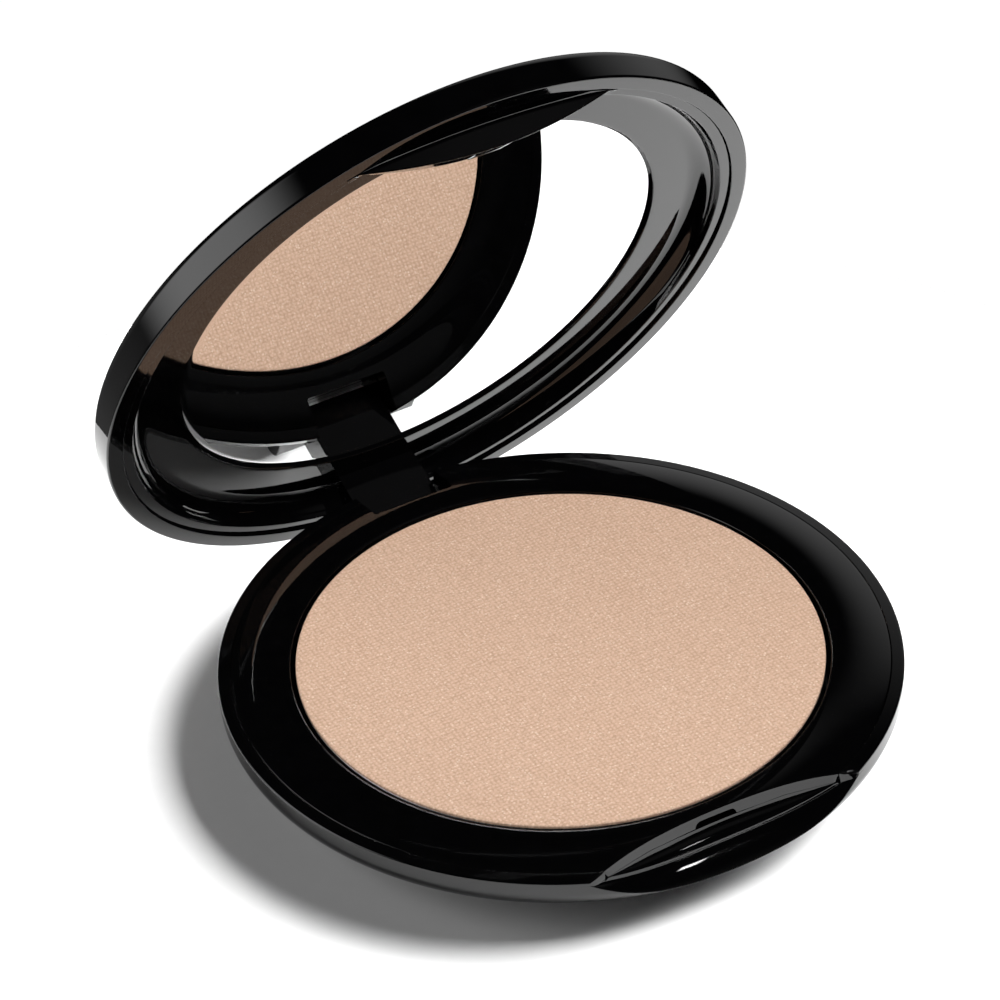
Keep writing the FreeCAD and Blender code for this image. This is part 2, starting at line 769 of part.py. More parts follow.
def write_parts(pieces):
    os.makedirs("parts", exist_ok=True)
    for piece in pieces:
        shape = piece.Shape
        if shape.isNull() or not shape.isValid():
            raise RuntimeError(f"{piece.Label} has no valid shape")
        print(f"{piece.Label:14} solids {len(shape.Solids)}  volume {shape.Volume:9.1f} mm3")
        shape.exportStep(f"parts/{piece.Label}.step")


def main():
    doc = FreeCAD.newDocument("powder_compact")
    s = Sheet(doc, SIZES)
    doc.recompute()
    notch, notch_plan = notch_cutter(doc, s)
    slot = catch_slot_cutter(doc, s)
    base = [
        make_base_shell(doc, s, notch),
        make_base_frame(doc, s, notch_plan, slot),
        make_disc(doc, "pan_adhesive", s.glue_radius, s.well_floor, s.glue_thick),
        make_powder_pan(doc, s),
        make_powder_cake(doc, s),
        make_disc(doc, "base_label", s.label_radius - s.label_gap, NOTHING, s.label_recess),
        make_hinge_pin(doc, s),
    ]
    pad_low = s.lid_edge + s.mirror_face + s.mirror_thick
    lid = [
        make_lid_shell(doc, s),
        make_mirror_frame(doc, s),
        make_mirror(doc, s),
        make_disc(doc, "mirror_pad", s.pad_radius, pad_low, s.pad_thick),
    ]
    doc.recompute()
    check_document(doc)
    hinge = Vector(0, s.hinge_y.value, s.hinge_z.value)
    opened = Placement(Vector(0, 0, 0), Rotation(Vector(1, 0, 0), -s.open_angle.value), hinge)
    for piece in lid:
        piece.Placement = opened
    doc.recompute()
    check_document(doc)
    write_parts(base + lid)


main()
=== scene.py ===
"""A round powder compact, open on a white floor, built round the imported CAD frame.

Lengths are in millimetres until a mesh is made. The base's axis is Z and it stands on Z = 0,
with the thumb notch at -Y and the hinge at +Y. Lid pieces are drawn closed and then turned
open about the hinge.
"""

import math

import bmesh
import bpy
from mathutils import Matrix, Vector

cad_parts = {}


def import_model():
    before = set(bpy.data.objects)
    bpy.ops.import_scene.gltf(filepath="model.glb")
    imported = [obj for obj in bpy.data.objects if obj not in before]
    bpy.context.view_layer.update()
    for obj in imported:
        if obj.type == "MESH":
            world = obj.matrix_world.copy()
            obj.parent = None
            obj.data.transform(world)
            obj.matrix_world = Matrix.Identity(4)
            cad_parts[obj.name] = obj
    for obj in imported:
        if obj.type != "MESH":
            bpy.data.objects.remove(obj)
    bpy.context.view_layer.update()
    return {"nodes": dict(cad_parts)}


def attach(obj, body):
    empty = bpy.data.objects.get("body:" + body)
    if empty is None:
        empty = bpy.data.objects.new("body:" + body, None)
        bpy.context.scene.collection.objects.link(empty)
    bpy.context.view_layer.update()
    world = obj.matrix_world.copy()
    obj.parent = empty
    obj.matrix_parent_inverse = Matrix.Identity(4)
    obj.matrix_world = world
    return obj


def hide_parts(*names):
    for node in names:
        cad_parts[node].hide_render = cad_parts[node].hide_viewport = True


MM = 0.001

# base
RIM = 38.2
RIM_TOP = 8.15
BAND = 36.75
BAND_TOP = 8.3
WALL_FOOT = 6.4
TURN = 2.4
BELLY = 36.4
BELLY_HEIGHT = 4.25
DOME = 85.0
FOOT = 22.0
FOOT_EDGE = (22.5, 0.07)
LABEL_RECESS = 0.15
LABEL_RADIUS = 18.0
SHELL_FLOOR = 1.6
SHELL_FLAT = 24.0
SHELL_CONE = 0.31
LEDGE = 6.2
SEAM = 0.01
LEDGE_INNER = 35.9
WELL = 30.0
WELL_FLOOR = 5.0
WELL_SKIN = 1.0
CREST = 32.8
CREST_TOP = 8.82
CROWN_CURVE = 15.0
CROWN_INNER = 30.3
FRAME_OUTER = 36.7

# pan and powder
PAN = 29.5
PAN_SHEET = 0.3
PAN_RIM = 8.2
PAN_LOW = 5.2
POWDER_TOP = 8.6

# thumb notch: its wall bows round NOTCH_BACK, its floor ends at the ridge, where a small step
# goes down to the bevel; floor and bevel rise by TIP_RISE at NOTCH_TIP from the middle
NOTCH_BACK = 31.95
NOTCH_BOW = 64.0
NOTCH_FLOOR = 6.2
NOTCH_DRAFT = 0.17
RIDGE = 33.8
NOTCH_TIP = 16.9
TIP_RISE = 1.95
COVE = 1.1
WALL_SEEN = 1.5
STEP_RUN = 0.1
STEP_DROP = 0.45
BEVEL_OUT = 37.6
BEVEL_LOW = 4.3
BEVEL_CURVE = 9.0
RIDGE_ROUND = 0.04
SLOT_WIDTH = 5.0
SLOT_HEIGHT = 1.3
SLOT_MIDDLE = 7.35
SLOT_DEPTH = 0.95
SLOT_LIP = 0.1
SLOT_LIP_DEPTH = 0.06

# hinge
HINGE_Y = 35.47
HINGE_Z = 3.22
PIN = 0.8
BLOCK_HALF = 9.2
BLOCK_ROUND = 2.2
BLOCK_FRONT = 31.2
BLOCK_TOP = 5.6
BLOCK_CHAMFER = 32.8
POCKET_HALF = 5.2
POCKET_FRONT = 33.0
POCKET_BACK = 44.0
ARM_HALF = 4.95
BARREL = 2.0
OPEN_ANGLE = 67.0

# lid
EDGE = 8.4
LID = 40.285
LID_BORE = 38.3
SIDE_HEIGHT = 3.1
SHOULDER = 39.3
SHOULDER_HEIGHT = 4.3
LID_HEIGHT = 9.3
LID_SKIN = 1.2
BORE_HEIGHT = 2.3
LID_INSIDE = 36.9
SHOULDER_CURVE = 1.3

# mirror and its frame
MIRROR = 29.5
MIRROR_FACE = 3.4
MIRROR_THICK = 0.9
MIRROR_BEVEL = 0.7
MIRROR_BEVEL_DEEP = 0.13
BEZEL_BORE = 29.85
BEZEL_FACE = 3.1
BEZEL_FLAT = 34.4
BEZEL_STEP = 0.35
BEZEL_RIM = 36.95
BEZEL_COVE = 2.75
CUP_WALL = 0.8
CUP_FLOOR = 0.5
FRAME_RADIUS = 38.15
FRAME_BACK = 4.0

# thumb tab
TAB_HALF = 15.2
TAB_ROOT = 36.5
TAB_BOW = 81.0
TAB_TOE = 35.6
TAB_DEPTH = 2.6
TAB_INNER = 32.25
TAB_UNDERCUT = 0.515
NIB_HALF = 2.2
NIB_ROOT = 0.6
NIB_REACH = 0.15
NIB_HEIGHT = 0.4
NIB_LOW = 0.2

# mesh: columns all the way round, distance under which corners are one, and the angle in
# degrees from which an edge is sharp
COLUMNS = 200
MERGE = 0.0002
CREASE = 32.0

# studio: radius of the part of the floor that shows in the gloss and of the room, in metres,
# and the glows round the room as azimuth, elevation, reach in degrees and strength
TABLE = 0.095
ROOM = 3.0
ROOM_LIGHTS = [
    (-116.0, 23.0, 33.0, 2.7),
    (135.0, 14.0, 30.0, 0.5),
    (40.0, 45.0, 30.0, 0.08),
    (-143.0, -24.0, 40.0, 0.16),
]


# ---------------------------------------------------------------- outlines


def arc(start, end, radius, centre_left, steps):
    """Points on a circular arc between two points of an outline, without the last one. The
    circle's centre lies to the left or the right of the way from start to end."""
    a, b = Vector(start), Vector(end)
    chord = b - a
    side = Vector((-chord.y, chord.x)).normalized() * (1 if centre_left else -1)
    rise = math.sqrt(max(radius**2 - (chord.length / 2) ** 2, 0.0))
    centre = (a + b) / 2 + side * rise
    first = math.atan2(a.y - centre.y, a.x - centre.x)
    turn = 2 * math.asin(min(1.0, chord.length / 2 / radius)) * (1 if centre_left else -1)
    points = []
    for step in range(steps):
        angle = first + turn * step / steps
        points.append((centre.x + radius * math.cos(angle), centre.y + radius * math.sin(angle)))
    return points


def straight(start, end, steps):
    """Evenly spaced points from one point of an outline to another, without the last one."""
    return [
        (start[0] + (end[0] - start[0]) * step / steps, start[1] + (end[1] - start[1]) * step / steps)
        for step in range(steps)
    ]


def softened(before, corner, after, size, steps=4):
    """The points that round a corner off between its neighbours."""
    p, c, n = Vector(before), Vector(corner), Vector(after)
    to_before, to_after = p - c, n - c
    start = c + to_before.normalized() * min(size, to_before.length * 0.49)
    end = c + to_after.normalized() * min(size, to_after.length * 0.49)
    points = []
    for step in range(steps + 1):
        t = step / steps
        point = start * (1 - t) ** 2 + c * 2 * t * (1 - t) + end * t**2
        points.append((point.x, point.y))
    return points


def toward_point(start, end, distance):
    """The point that lies so far from start towards end."""
    step = (Vector(end) - Vector(start)).normalized() * distance
    return (start[0] + step.x, start[1] + step.y)


def rounded(outline):
    """An outline of (r, z) or (r, z, size) corners with the sized ones rounded off."""
    points = []
    for number, corner in enumerate(outline):
        if len(corner) == 3 and 0 < number < len(outline) - 1:
            before = outline[number - 1][:2]
            after = outline[number + 1][:2]
            points += softened(before, corner[:2], after, corner[2])
        else:
            points.append(corner[:2])
    return points


# ---------------------------------------------------------------- meshes


def finish_mesh(name, mesh_data, material, crease=CREASE):
    """Turns a bmesh in millimetres into a smooth-shaded object with crisp creases."""
    bmesh.ops.remove_doubles(mesh_data, verts=mesh_data.verts, dist=MERGE)
    bmesh.ops.dissolve_degenerate(mesh_data, edges=mesh_data.edges, dist=MERGE)
    loose = [edge for edge in mesh_data.edges if not edge.link_faces]
    bmesh.ops.delete(mesh_data, geom=loose, context="EDGES")
    bmesh.ops.recalc_face_normals(mesh_data, faces=mesh_data.faces)
    mesh = bpy.data.meshes.new(name)
    mesh_data.to_mesh(mesh)
    mesh_data.free()
    mesh.transform(Matrix.Scale(MM, 4))
    mesh.shade_smooth()
    mesh.set_sharp_from_angle(angle=math.radians(crease))
    piece = bpy.data.objects.new(name, mesh)
    bpy.context.scene.collection.objects.link(piece)
    piece.data.materials.append(material)
    weighted = piece.modifiers.new("flat_faces_stay_flat", "WEIGHTED_NORMAL")
    weighted.keep_sharp = True
    return piece


def spun(section_at, angles, skipped=()):
    """A bmesh swept round the Z axis. section_at(angle) is a closed outline of (r, z) points,
    always as many, and angle 0 looks along -Y. Between two angles whose first is in skipped
    no faces are made, because the two columns lie in one plane."""
    result = bmesh.new()
    columns = []
    for angle in angles:
        s, c = math.sin(angle), math.cos(angle)
        columns.append([result.verts.new((r * s, -r * c, z)) for r, z in section_at(angle)])
    count = len(columns[0])
    for number, column in enumerate(columns):
        if number in skipped:
            continue
        following = columns[(number + 1) % len(columns)]
        for row in range(count):
            up = (row + 1) % count
            result.faces.new((column[row], column[up], following[up], following[row]))
    return result


def even_angles(columns=COLUMNS):
    return [2 * math.pi * number / columns for number in range(columns)]


def lathe(outline):
    """A bmesh turned from one closed outline."""
    return spun(lambda angle: outline, even_angles())


def prism(outline, low, high, axis="Z"):
    """A bmesh that extrudes a closed outline along Z, or an outline in YZ along X."""
    result = bmesh.new()
    ends = []
    for level in (low, high):
        if axis == "Z":
            ends.append([result.verts.new((x, y, level)) for x, y in outline])
        elif axis == "Y":
            ends.append([result.verts.new((x, level, z)) for x, z in outline])
        else:
            ends.append([result.verts.new((level, y, z)) for y, z in outline])
    bottom, top = ends
    for number in range(len(outline)):
        following = (number + 1) % len(outline)
        result.faces.new((bottom[number], bottom[following], top[following], top[number]))
    result.faces.new(bottom[::-1])
    result.faces.new(top)
    bmesh.ops.recalc_face_normals(result, faces=result.faces)
    return result


def soft_ended(bar, half, size):
    """Rounds the edges of both ends of a bar that lies along X."""
    ends = [edge for edge in bar.edges
            if abs(edge.verts[0].co.x) == half and edge.verts[0].co.x == edge.verts[1].co.x]
    bmesh.ops.bevel(bar, geom=ends, offset=size, segments=3, affect="EDGES", profile=0.5)
    return bar


def combine(piece, tool_mesh, operation):
    """Cuts a tool from a piece or joins it on, and leaves the result in the piece's mesh."""
    mesh = bpy.data.meshes.new("tool")
    tool_mesh.to_mesh(mesh)
    tool_mesh.free()
    mesh.transform(Matrix.Scale(MM, 4))
    mesh.shade_smooth()
    mesh.set_sharp_from_angle(angle=math.radians(CREASE))
    tool = bpy.data.objects.new("tool", mesh)
    bpy.context.scene.collection.objects.link(tool)
    boolean = piece.modifiers.new("boolean", "BOOLEAN")
    boolean.operation = operation
    boolean.solver = "EXACT"
    boolean.object = tool
    piece.modifiers.move(len(piece.modifiers) - 1, 0)
    weighted = piece.modifiers[-1]
    weighted.show_viewport = False
    graph = bpy.context.evaluated_depsgraph_get()
    result = bpy.data.meshes.new_from_object(piece.evaluated_get(graph))
    result.shade_smooth()
    result.set_sharp_from_angle(angle=math.radians(CREASE))
    old = piece.data
    piece.modifiers.remove(boolean)
    piece.data = result
    result.name = old.name
    weighted.show_viewport = True
    bpy.data.meshes.remove(old)
    bpy.data.objects.remove(tool)
    bpy.data.meshes.remove(mesh)


def opened(piece):
    """Turns a piece that was drawn closed to the lid's open position."""
    hinge = Matrix.Translation((0, HINGE_Y * MM, HINGE_Z * MM))
    turn = Matrix.Rotation(math.radians(-OPEN_ANGLE), 4, "X")
    piece.data.transform(hinge @ turn @ hinge.inverted())


# ---------------------------------------------------------------- thumb notch


def bowed_radius(back, bow, angle, outermost):
    """Distance from the axis, at an angle, of a wall that bows towards the axis and is back
    away from it in the middle; the wall ends where it would be outside outermost."""
    centre = back + bow
    reach = centre * math.cos(angle)
    inside = reach**2 - (centre**2 - bow**2)
    if math.cos(angle) <= 0 or inside <= 0:
        return outermost
    return min(outermost, reach - math.sqrt(inside))


def bowed_angle(back, bow, radius):
    """The angle where that wall is at a given distance from the axis."""
    centre = back + bow
    return math.acos((radius**2 + centre**2 - bow**2) / (2 * radius * centre))


def notch_radius(angle):
    return bowed_radius(NOTCH_BACK, NOTCH_BOW, angle, RIM)


def bevel_height(distance):
    """Height of the notch's floor, the small step at its ridge and the bevel beyond."""
    if distance <= RIDGE:
        return NOTCH_FLOOR
    if distance <= RIDGE + STEP_RUN:
        return NOTCH_FLOOR - STEP_DROP * (distance - RIDGE) / STEP_RUN
    top = Vector((RIDGE + STEP_RUN, NOTCH_FLOOR - STEP_DROP))
    run = Vector((BEVEL_OUT, BEVEL_LOW)) - top
    side = Vector((run.y, -run.x)).normalized()
    rise = math.sqrt(BEVEL_CURVE**2 - (run.length / 2) ** 2)
    centre = top + run / 2 + side * rise
    return centre.y + math.sqrt(max(BEVEL_CURVE**2 - (distance - centre.x) ** 2, 0.0))


def notch_height(r, angle):
    """Height of the notch's floor or bevel at a place; both rise towards the notch's ends."""
    across = abs(r * math.sin(angle)) / NOTCH_TIP
    return ridge_height(r * math.cos(angle)) + TIP_RISE * across**3


def ridge_height(distance):
    """The same heights with the corners of the step rounded."""
    samples = [bevel_height(distance + RIDGE_ROUND * step / 4) for step in range(-2, 3)]
    return sum(samples) / len(samples)


def flank_outline():
    """The outside of the base from the top of its wall down to the belly."""
    wall = straight((RIM, RIM_TOP), (RIM, WALL_FOOT), 12)
    turn = arc((RIM, WALL_FOOT), (BELLY, BELLY_HEIGHT), TURN, False, 24)
    return wall + turn + [(BELLY, BELLY_HEIGHT)]


def flank_below(start, steps):
    """Evenly spaced points of that outline from a height down to the belly."""
    line = flank_outline()
    points = []
    for step in range(steps + 1):
        z = start + (BELLY_HEIGHT - start) * step / steps
        for upper, lower in zip(line, line[1:]):
            if lower[1] <= z <= upper[1]:
                share = (upper[1] - z) / (upper[1] - lower[1])
                points.append((upper[0] + (lower[0] - upper[0]) * share, z))
                break
    return points


def bevel_end(angle):
    """Height where the bevel comes out through the base's outside, at an angle."""
    low, high = BELLY_HEIGHT, RIM_TOP
    for _ in range(40):
        middle = (low + high) / 2
        r, z = flank_below(middle, 1)[0]
        if z > notch_height(r, angle):
            high = middle
        else:
            low = middle
    return (low + high) / 2


# ---------------------------------------------------------------- base


NOTCH_END = bowed_angle(NOTCH_BACK, NOTCH_BOW, RIM)
BAND_END = bowed_angle(NOTCH_BACK, NOTCH_BOW, BAND)
FRAME_END = bowed_angle(NOTCH_BACK, NOTCH_BOW, FRAME_OUTER)
NOTCH_JOINT = bevel_end(NOTCH_END)


def stations(*edges):
    """Angles round the axis with every edge angle on both sides of the front among them, and
    for each whether it lies within the first edge. That first edge is listed both ways."""
    front = edges[0]
    marks = [front, *edges[1:], math.pi]
    side = []
    for start, end in zip(marks, marks[1:]):
        steps = max(4, round((end - start) / (2 * math.pi) * COLUMNS))
        side += [start + (end - start) * step / steps for step in range(steps)]
    outside = side + [math.pi] + [2 * math.pi - angle for angle in reversed(side)]
    inside = [front * step / 40 for step in range(-40, 41)]
    return [(angle, True) for angle in inside] + [(angle, False) for angle in outside]


def spun_round(section_at, places, filled):
    """Like spun(), for places from stations(). Two pairs of columns stand at the same angle;
    filled says whether there is a flat face between them."""
    columns = iter(places)
    inside = sum(1 for _, within in places if within)
    return spun(lambda angle: section_at(*next(columns)), [angle for angle, _ in places],
                skipped=() if filled else (inside - 1, len(places) - 1))


def shell_section(angle, within_band_gap):
    """The outer moulding of the base, from the middle of its floor outwards and back below."""
    forward = math.cos(angle)
    in_notch = forward > 0 and notch_radius(angle) < RIM
    wall = notch_radius(angle)
    inner = min(LEDGE_INNER, (NOTCH_BACK - 0.6) / forward) if forward > 0 else LEDGE_INNER
    exit_height = bevel_end(angle) if in_notch else NOTCH_JOINT
    exit_point = flank_below(exit_height, 1)[0]
    drafted = wall + NOTCH_DRAFT * WALL_SEEN if in_notch else wall
    foot_height = notch_height(drafted, angle) if in_notch else NOTCH_JOINT
    foot_height = min(foot_height, RIM_TOP - 0.02)
    foot = (min(drafted, flank_below(foot_height, 1)[0][0]), foot_height)
    if in_notch:
        foot = (foot[0], min(covered(foot[0], angle, foot[0]), RIM_TOP - 0.05))
    cone = SHELL_FLOOR + (inner - SHELL_FLAT) * SHELL_CONE
    points = [(0, SHELL_FLOOR), (SHELL_FLAT, SHELL_FLOOR), (inner, cone), (inner, LEDGE)]
    if within_band_gap:
        points += [(foot[0], LEDGE)] * 5 + [foot] * 25
    else:
        top = BAND_TOP + (RIM_TOP - BAND_TOP) * (wall - BAND) / (RIM - BAND)
        lip = min(0.08, 0.3 * (wall - BAND))
        edge = min(0.25, 0.6 * (wall - BAND))
        points += straight((BAND, LEDGE), (BAND, BAND_TOP - lip), 10)
        points += softened((BAND, LEDGE), (BAND, BAND_TOP), (wall, top), lip)
        points += softened((BAND, BAND_TOP), (wall, top), foot, edge)
        points += straight((wall, top - edge), foot, 10)[0:10]
    cut = min(0.18, 0.4 * max(exit_point[0] - foot[0], 0.0))
    bevel_stop = exit_point[0] - cut
    stops = [foot[0]]
    for distance in (RIDGE - RIDGE_ROUND, RIDGE + STEP_RUN + RIDGE_ROUND):
        stops.append(min(max(distance / max(forward, 0.1), foot[0]), bevel_stop))
    stops.append(bevel_stop)
    for start, end, steps in zip(stops, stops[1:], (12, 12, 14)):
        for step in range(steps):
            r = start + (end - start) * step / steps
            points.append((r, covered(r, angle, foot[0]) if in_notch else foot[1]))
    below = flank_below(exit_height - 0.5 * cut, 24)
    before = (bevel_stop, notch_height(bevel_stop, angle)) if in_notch else exit_point
    points += softened_between(before, exit_point, below[0])
    points += below[1:]
    points += arc((BELLY, BELLY_HEIGHT), FOOT_EDGE, DOME, False, 24)[1:]
    points += rounded([FOOT_EDGE, (FOOT, 0.0, 0.4), (LABEL_RADIUS, 0.0, 0.15),
                       (LABEL_RADIUS, LABEL_RECESS, 0.08), (0, LABEL_RECESS)])
    return points


def covered(r, angle, wall):
    """Height of the notch's floor with a cove along the foot of its wall."""
    height = notch_height(r, angle)
    room = max(min(COVE, RIDGE / math.cos(angle) - wall), 0.0)
    inwards = wall + room - r
    if room <= 0.0 or inwards <= 0.0:
        return height
    return height + room - math.sqrt(max(room**2 - inwards**2, 0.0))


def softened_between(start, control, end, steps=4):
    """A smooth bend from start to end that heads for control."""
    points = []
    for step in range(steps + 1):
        t = step / steps
        points.append(tuple(
            a * (1 - t) ** 2 + b * 2 * t * (1 - t) + c * t**2
            for a, b, c in zip(start, control, end)
        ))
    return points


def pocket_tool(low, high):
    """The space at the back that the lid's arm swings in."""
    cut = 0.25
    outline = [
        (-POCKET_HALF, POCKET_BACK), (-POCKET_HALF, POCKET_FRONT + cut),
        (-POCKET_HALF + cut, POCKET_FRONT), (POCKET_HALF - cut, POCKET_FRONT),
        (POCKET_HALF, POCKET_FRONT + cut), (POCKET_HALF, POCKET_BACK),
    ]
    return prism(outline, low, high)


def hinge_block():
    """The block with the two ears that hold the pin, seen from the side."""
    back = HINGE_Y + BLOCK_ROUND
    bottom = HINGE_Z - BLOCK_ROUND
    outline = [
        (BLOCK_FRONT, BLOCK_TOP), (BLOCK_FRONT, HINGE_Z - 0.6), (BLOCK_CHAMFER, bottom),
        *arc((HINGE_Y, bottom), (back, HINGE_Z), BLOCK_ROUND, True, 12),
        (back, HINGE_Z), (RIM - 1.4, BLOCK_TOP),
    ]
    return soft_ended(prism(outline, -BLOCK_HALF, BLOCK_HALF, "X"), BLOCK_HALF, 0.25)


def make_base_shell(material):
    body = spun_round(shell_section, stations(BAND_END, NOTCH_END), True)
    piece = finish_mesh("base_shell_body", body, material)
    combine(piece, hinge_block(), "UNION")
    combine(piece, pocket_tool(-2.0, 12.0), "DIFFERENCE")
    return piece


def crown_height(r):
    """Height of the crown's smooth top at a distance from the axis."""
    return CREST_TOP - CROWN_CURVE + math.sqrt(CROWN_CURVE**2 - (r - CREST) ** 2)


def frame_section(angle, _):
    """The inner moulding of the base: well, crown and the wall of the notch."""
    outer = min(FRAME_OUTER, notch_radius(angle))
    edge = 0.16 if outer < FRAME_OUTER else 0.08
    under = LEDGE + 0.05
    lip = WELL + 0.02
    points = [(0, WELL_FLOOR - WELL_SKIN), (WELL + WELL_SKIN, WELL_FLOOR - WELL_SKIN),
              (WELL + WELL_SKIN, under)]
    lean = NOTCH_DRAFT if outer < FRAME_OUTER else 0.0
    foot = min(outer + lean * WALL_SEEN, FRAME_OUTER)
    hidden = CREST_TOP - WALL_SEEN
    points += straight((foot - SEAM, under), (foot - SEAM, hidden), 4)
    points += straight((foot - SEAM, hidden), (outer, crown_height(outer) - edge), 8)
    inner_top = crown_height(outer - edge)
    points += softened_between((outer, crown_height(outer) - edge), (outer, crown_height(outer)),
                               (outer - edge, inner_top))
    for step in range(1, 30):
        r = outer - edge + (CROWN_INNER - outer + edge) * step / 30
        points.append((r, crown_height(r)))
    shoulder = crown_height(CROWN_INNER)
    points += softened_between((CROWN_INNER, shoulder), (lip, shoulder - 0.04), (lip, shoulder - 0.4))
    points += [(lip, WELL_FLOOR), (0, WELL_FLOOR)]
    return points


def catch_slot(depth, grown=0.0):
    """A slot with round ends for the lid's catch, as a tool that reaches so far into the
    notch's wall; grown makes it larger all round."""
    half = (SLOT_WIDTH - SLOT_HEIGHT) / 2
    end = SLOT_HEIGHT / 2 + grown
    low = SLOT_MIDDLE - end
    high = SLOT_MIDDLE + end
    outline = arc((half, low), (half, high), end, True, 10)
    outline += arc((-half, high), (-half, low), end, True, 10)
    return prism(outline, -NOTCH_BACK - 2.0, -NOTCH_BACK + depth, "Y")


def make_base_frame(material):
    body = spun_round(frame_section, stations(FRAME_END), False)
    piece = finish_mesh("base_frame_body", body, material)
    combine(piece, catch_slot(SLOT_DEPTH), "DIFFERENCE")
    combine(piece, catch_slot(SLOT_LIP_DEPTH, SLOT_LIP), "DIFFERENCE")
    combine(piece, pocket_tool(3.0, 12.0), "DIFFERENCE")
    return piece


def make_pan(material):
    """The pressed aluminium pan with its rolled rim."""
    corner = 1.0
    inner = PAN - PAN_SHEET
    floor = PAN_LOW + PAN_SHEET
    outline = [(0, PAN_LOW)]
    outline += arc((PAN - corner, PAN_LOW), (PAN, PAN_LOW + corner), corner, True, 8)
    outline += [(PAN, PAN_LOW + corner)]
    outline += softened((PAN, PAN_LOW + corner), (PAN, PAN_RIM), (inner, PAN_RIM), 0.12)
    outline += softened((PAN, PAN_RIM), (inner, PAN_RIM), (inner, floor + corner), 0.12)
    bend = corner - PAN_SHEET
    outline += arc((inner, floor + bend), (PAN - corner, floor), bend, False, 8)
    outline += [(PAN - corner, floor), (0, floor)]
    return finish_mesh("powder_pan_body", lathe(outline), material)


def make_powder(material):
    """The pressed powder, with a soft round edge."""
    floor = PAN_LOW + PAN_SHEET + SEAM
    inner = PAN - PAN_SHEET - SEAM
    outer = PAN - 0.02
    corner = 0.7
    shelf = PAN_RIM + SEAM
    outline = [(0, floor), (inner - corner, floor), (inner, floor - SEAM + corner),
               (inner, shelf), (outer, shelf)]
    outline += softened((outer, shelf), (outer, POWDER_TOP), (0, POWDER_TOP), 0.4, 8)
    outline += [(r, POWDER_TOP) for r in (28.4, 26.0, 22.0, 17.0, 12.0, 7.0, 3.0)]
    outline += [(0, POWDER_TOP)]
    return finish_mesh("powder_cake_body", lathe(outline), material, crease=60.0)


def make_pin(material):
    """The hinge pin with chamfered ends."""
    half = BLOCK_HALF - 0.02
    outline = rounded([(0, -half), (PIN, -half, 0.15), (PIN, half, 0.15), (0, half)])
    pin = spun(lambda angle: outline, even_angles(48))
    pin.transform(Matrix.Translation((0, HINGE_Y, HINGE_Z)) @ Matrix.Rotation(math.pi / 2, 4, "Y"))
    return finish_mesh("hinge_pin_body", pin, material)


# ---------------------------------------------------------------- lid


def make_lid_shell(material):
    """The outer moulding of the lid: flat edge, side wall, shoulder and shallow dome."""
    rise = LID_HEIGHT - SHOULDER_HEIGHT
    curve = (SHOULDER**2 + rise**2) / (2 * rise)
    drop = curve - math.sqrt(curve**2 - LID_INSIDE**2)
    inside_edge = (LID_INSIDE, LID_HEIGHT - LID_SKIN - drop)
    side_top = LID - 0.12
    crown = (0.0, LID_HEIGHT - 0.02)
    outline = [(LID_BORE, BORE_HEIGHT)]
    outline += rounded([(LID_BORE, BORE_HEIGHT), (LID_BORE, 0.0, 0.1), (LID, 0.0, 0.28),
                        (side_top, SIDE_HEIGHT)])[1:-1]
    outline += arc((side_top, SIDE_HEIGHT), (SHOULDER, SHOULDER_HEIGHT), SHOULDER_CURVE, True, 10)
    outline += arc((SHOULDER, SHOULDER_HEIGHT), crown, curve, True, 40)
    outline += [crown]
    inner = arc(inside_edge, (0.0, LID_HEIGHT - LID_SKIN), curve, True, 24)
    outline += [(0.0, LID_HEIGHT - LID_SKIN)] + inner[::-1]
    lifted = [(r, EDGE + height) for r, height in outline]
    piece = finish_mesh("lid_shell_body", lathe(lifted), material)
    opened(piece)
    return piece


TAB_PAD_END = bowed_angle(TAB_INNER, NOTCH_BOW, FRAME_RADIUS)


def cove_line():
    """The bezel from its flat face out through the cove, as (r, height above the edge)."""
    end = (BEZEL_RIM, BEZEL_STEP + 0.15)
    return (straight((BEZEL_BORE + 0.12, BEZEL_FACE), (BEZEL_FLAT, BEZEL_FACE), 10)
            + arc((BEZEL_FLAT, BEZEL_FACE), end, BEZEL_COVE, False, 16)
            + [end])


def clipped(line, limit, steps):
    """A line of points cut off where r reaches a limit, as evenly spaced points."""
    kept = [line[0]]
    for start, end in zip(line, line[1:]):
        if end[0] > limit:
            share = (limit - start[0]) / max(end[0] - start[0], 1e-9)
            kept.append((limit, start[1] + (end[1] - start[1]) * share))
            break
        kept.append(end)
    lengths = [0.0]
    for start, end in zip(kept, kept[1:]):
        lengths.append(lengths[-1] + math.dist(start, end))
    points = []
    for step in range(steps + 1):
        goal = lengths[-1] * step / steps
        for number in range(len(kept) - 1):
            if goal <= lengths[number + 1] + 1e-9:
                span = max(lengths[number + 1] - lengths[number], 1e-9)
                share = (goal - lengths[number]) / span
                a, b = kept[number], kept[number + 1]
                points.append((a[0] + (b[0] - a[0]) * share, a[1] + (b[1] - a[1]) * share))
                break
    return points


def tab_root(angle):
    """Distance from the axis of the tab's outer face at the lid's edge."""
    centre = TAB_BOW - TAB_ROOT
    forward = math.cos(angle)
    return -centre * forward + math.sqrt((centre * forward) ** 2 + TAB_BOW**2 - centre**2)


def tab_depth(angle):
    """Depth of the tab's lower edge below the lid's edge."""
    across = tab_root(angle) * math.sin(angle)
    tip = TAB_HALF + 0.3
    curve = (tip**2 + TAB_DEPTH**2) / (2 * TAB_DEPTH)
    if abs(across) >= tip:
        return 0.0
    return max(0.0, math.sqrt(curve**2 - across**2) - curve + TAB_DEPTH)


